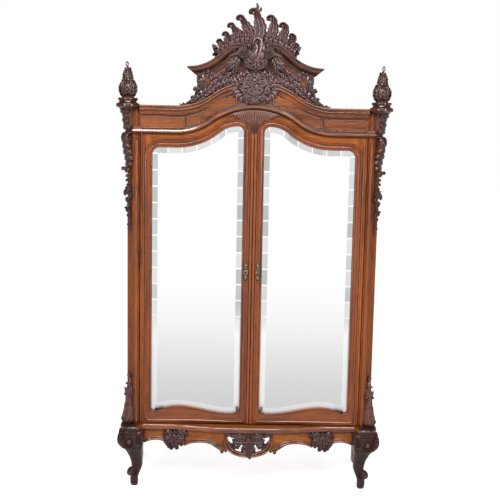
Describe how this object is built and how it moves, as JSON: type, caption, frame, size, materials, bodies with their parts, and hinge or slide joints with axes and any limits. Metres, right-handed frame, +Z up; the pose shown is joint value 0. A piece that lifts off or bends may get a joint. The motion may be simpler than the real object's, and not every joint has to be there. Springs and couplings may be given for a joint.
{
  "type": "armoire",
  "caption": "tall two-door armoire with bevelled mirror doors, serpentine head, carved pediment with plume crest, canted posts and cabriole front legs",
  "frame": {"origin": "on the floor, under the middle of the whole armoire's bounding box", "axes": "+Z up, the doors face -Y, +X to the right as seen from the front"},
  "size_m": [1.596, 0.5726, 2.88],
  "materials": {
    "walnut_polished": "French polished walnut, glossy reddish brown",
    "walnut_carved": "carved walnut, darker stain, glossy",
    "inner_wood": "plain oiled board, matt",
    "mirror_glass": "bevelled silvered glass",
    "brass": "dull cast brass",
    "steel": "filed steel"
  },
  "bodies": {
    "carcase": {"apron_centre_carving": "walnut_carved", "apron_palmettes": "walnut_carved", "back_frame": "inner_wood", "back_panels": "inner_wood", "base_back_rail": "inner_wood", "base_moulding": "walnut_polished", "bearers": "inner_wood", "bouquet": "walnut_carved", "corner_cap_left": "walnut_carved", "corner_cap_right": "walnut_carved", "corner_post_left": "walnut_polished", "corner_post_right": "walnut_polished", "cornice_front": "walnut_polished", "cornice_side_left": "walnut_polished", "cornice_side_right": "walnut_polished", "crest_brackets": "walnut_carved", "crest_plumes": "walnut_carved", "finials": "walnut_carved", "floor_panel": "inner_wood", "frieze_board": "walnut_polished", "frieze_panels": "walnut_polished", "front_apron": "walnut_polished", "front_leg_left": "walnut_carved", "front_leg_right": "walnut_carved", "hanging_rail": "brass", "head_moulding": "walnut_polished", "hinge_pivots": "steel", "pediment_board": "walnut_polished", "post_foot_leaf_left": "walnut_carved", "post_foot_leaf_right": "walnut_carved", "post_garland_left": "walnut_carved", "post_garland_right": "walnut_carved", "rear_leg_left": "walnut_polished", "rear_leg_right": "walnut_polished", "roof_mouldings": "walnut_carved", "shelf": "inner_wood", "side_apron_left": "walnut_polished", "side_apron_right": "walnut_polished", "side_frame_left": "walnut_polished", "side_frame_right": "walnut_polished", "side_panel_left": "walnut_polished", "side_panel_right": "walnut_polished", "top_panel": "inner_wood"},
    "door_left": {"door_frame_left": "walnut_polished", "door_moulding_left": "walnut_polished", "mirror_left": "mirror_glass", "mirror_back_left": "inner_wood", "meeting_strip_left": "walnut_polished", "escutcheon_left": "brass"},
    "door_right": {"door_frame_right": "walnut_polished", "door_moulding_right": "walnut_polished", "mirror_right": "mirror_glass", "mirror_back_right": "inner_wood", "meeting_strip_right": "walnut_polished", "escutcheon_right": "brass", "lock_case": "steel"},
    "lock_bolt": {"lock_bolt": "steel"},
    "key": {"key": "steel"},
    "flush_bolt_top": {"flush_bolt_top": "steel"},
    "flush_bolt_bottom": {"flush_bolt_bottom": "steel"}
  },
  "joints": [
    {"name": "door_left_hinge", "type": "hinge", "parent": "carcase", "child": "door_left", "pos_m": [-0.654, -0.192, 0.396], "axis": [0, 0, -1], "range_deg": [0, 95]},
    {"name": "door_right_hinge", "type": "hinge", "parent": "carcase", "child": "door_right", "pos_m": [0.654, -0.192, 0.396], "axis": [0, 0, 1], "range_deg": [0, 95]},
    {"name": "key_turn", "type": "hinge", "parent": "door_right", "child": "key", "pos_m": [0.036, -0.19, 1.333], "axis": [0, 1, 0], "range_deg": [0, 180]},
    {"name": "bolt_throw", "type": "slide", "parent": "door_right", "child": "lock_bolt", "axis": [-1, 0, 0], "range_m": [0, 0.0125]},
    {"name": "flush_bolt_top_slide", "type": "slide", "parent": "door_left", "child": "flush_bolt_top", "axis": [0, 0, 1], "range_m": [0, 0.014]},
    {"name": "flush_bolt_bottom_slide", "type": "slide", "parent": "door_left", "child": "flush_bolt_bottom", "axis": [0, 0, -1], "range_m": [0, 0.014]}
  ],
  "couplings": [
    {"joint": "bolt_throw", "follows": "key_turn", "m_per_rad": 0.0035}
  ]
}
